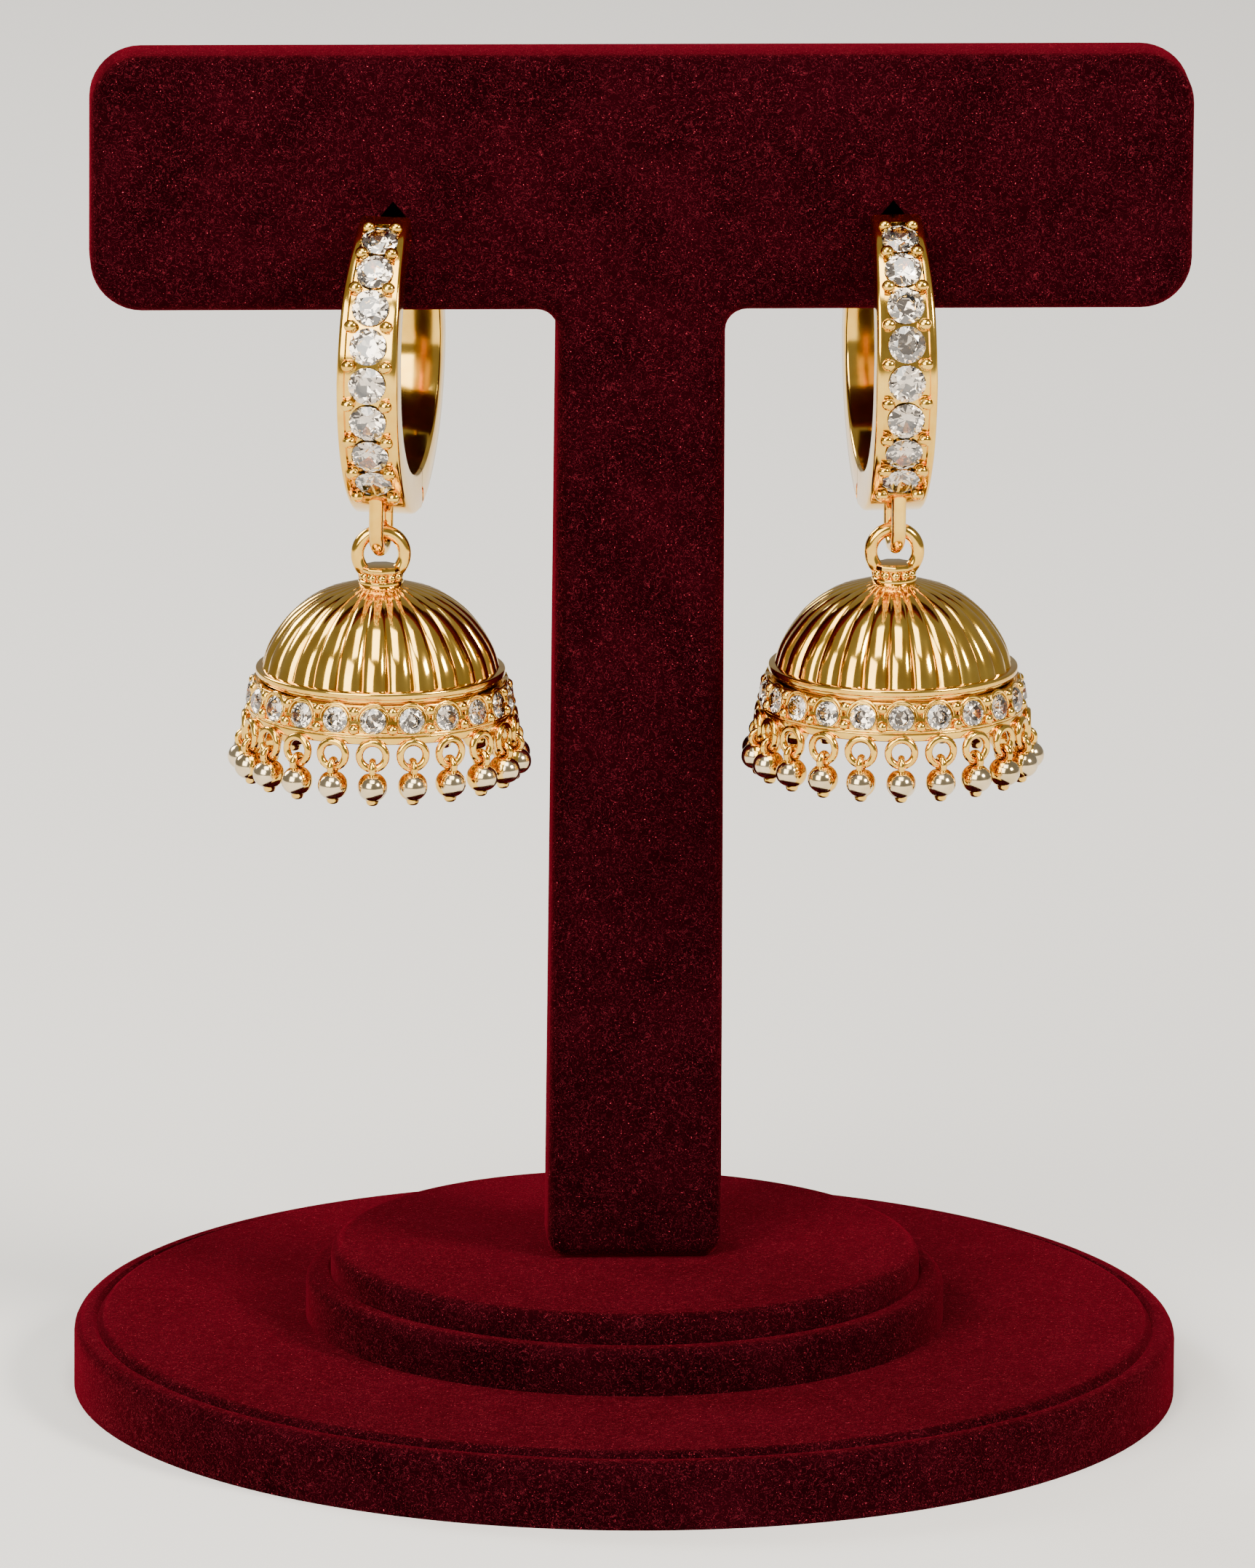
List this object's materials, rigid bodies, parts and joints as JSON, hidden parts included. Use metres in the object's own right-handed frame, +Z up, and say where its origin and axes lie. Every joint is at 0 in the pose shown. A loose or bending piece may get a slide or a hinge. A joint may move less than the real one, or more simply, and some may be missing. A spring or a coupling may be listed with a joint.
{
  "type": "pair of jhumka earrings on a t-bar display stand",
  "caption": "Hinged hoop earrings with hanging fluted bells and bead fringes, displayed in a pair on a velvet T-bar stand with a round stepped foot",
  "frame": {"origin": "centre of the foot's underside, on the floor", "axes": "+Z up; X along the bar, +X towards the right earring seen from the front; the front faces -Y"},
  "size_m": [0.076, 0.076, 0.0944],
  "materials": {
    "velvet": "dark red velvet pile",
    "gold": "polished yellow gold plating",
    "clear_stone": "faceted clear stones",
    "beads": "pale polished beads on gold wire"
  },
  "bodies": {
    "stand": {"stand_base": "velvet", "stand_plinth": "velvet", "stand_t_board": "velvet", "left_hoop_front": "gold", "left_hoop_stone_1": "clear_stone", "left_hoop_stone_2": "clear_stone", "left_hoop_stone_3": "clear_stone", "left_hoop_stone_4": "clear_stone", "left_hoop_stone_5": "clear_stone", "left_hoop_stone_6": "clear_stone", "left_hoop_stone_7": "clear_stone", "left_hoop_stone_8": "clear_stone", "right_hoop_front": "gold", "right_hoop_stone_1": "clear_stone", "right_hoop_stone_2": "clear_stone", "right_hoop_stone_3": "clear_stone", "right_hoop_stone_4": "clear_stone", "right_hoop_stone_5": "clear_stone", "right_hoop_stone_6": "clear_stone", "right_hoop_stone_7": "clear_stone", "right_hoop_stone_8": "clear_stone"},
    "left_hoop_back": {"left_hoop_back": "gold"},
    "left_bell": {"left_bell_dome": "gold", "left_stone_band": "gold", "left_bead_fringe": "beads"},
    "right_hoop_back": {"right_hoop_back": "gold"},
    "right_bell": {"right_bell_dome": "gold", "right_stone_band": "gold", "right_bead_fringe": "beads"}
  },
  "joints": [
    {"name": "left_hoop_hinge", "type": "hinge", "parent": "stand", "child": "left_hoop_back", "pos_m": [-0.01643, -0.00279, 0.06344], "axis": [-0.9763, 0.2164, 0], "range_deg": [0, 30]},
    {"name": "left_bell_swing", "type": "hinge", "parent": "stand", "child": "left_bell", "pos_m": [-0.01738, -0.00708, 0.06202], "axis": [1, 0, 0], "range_deg": [-60, 40]},
    {"name": "right_hoop_hinge", "type": "hinge", "parent": "stand", "child": "right_hoop_back", "pos_m": [0.01735, -0.00246, 0.06344], "axis": [-0.9981, -0.061, 0], "range_deg": [0, 30]},
    {"name": "right_bell_swing", "type": "hinge", "parent": "stand", "child": "right_bell", "pos_m": [0.01762, -0.00685, 0.06202], "axis": [1, 0, 0], "range_deg": [-60, 40]}
  ]
}
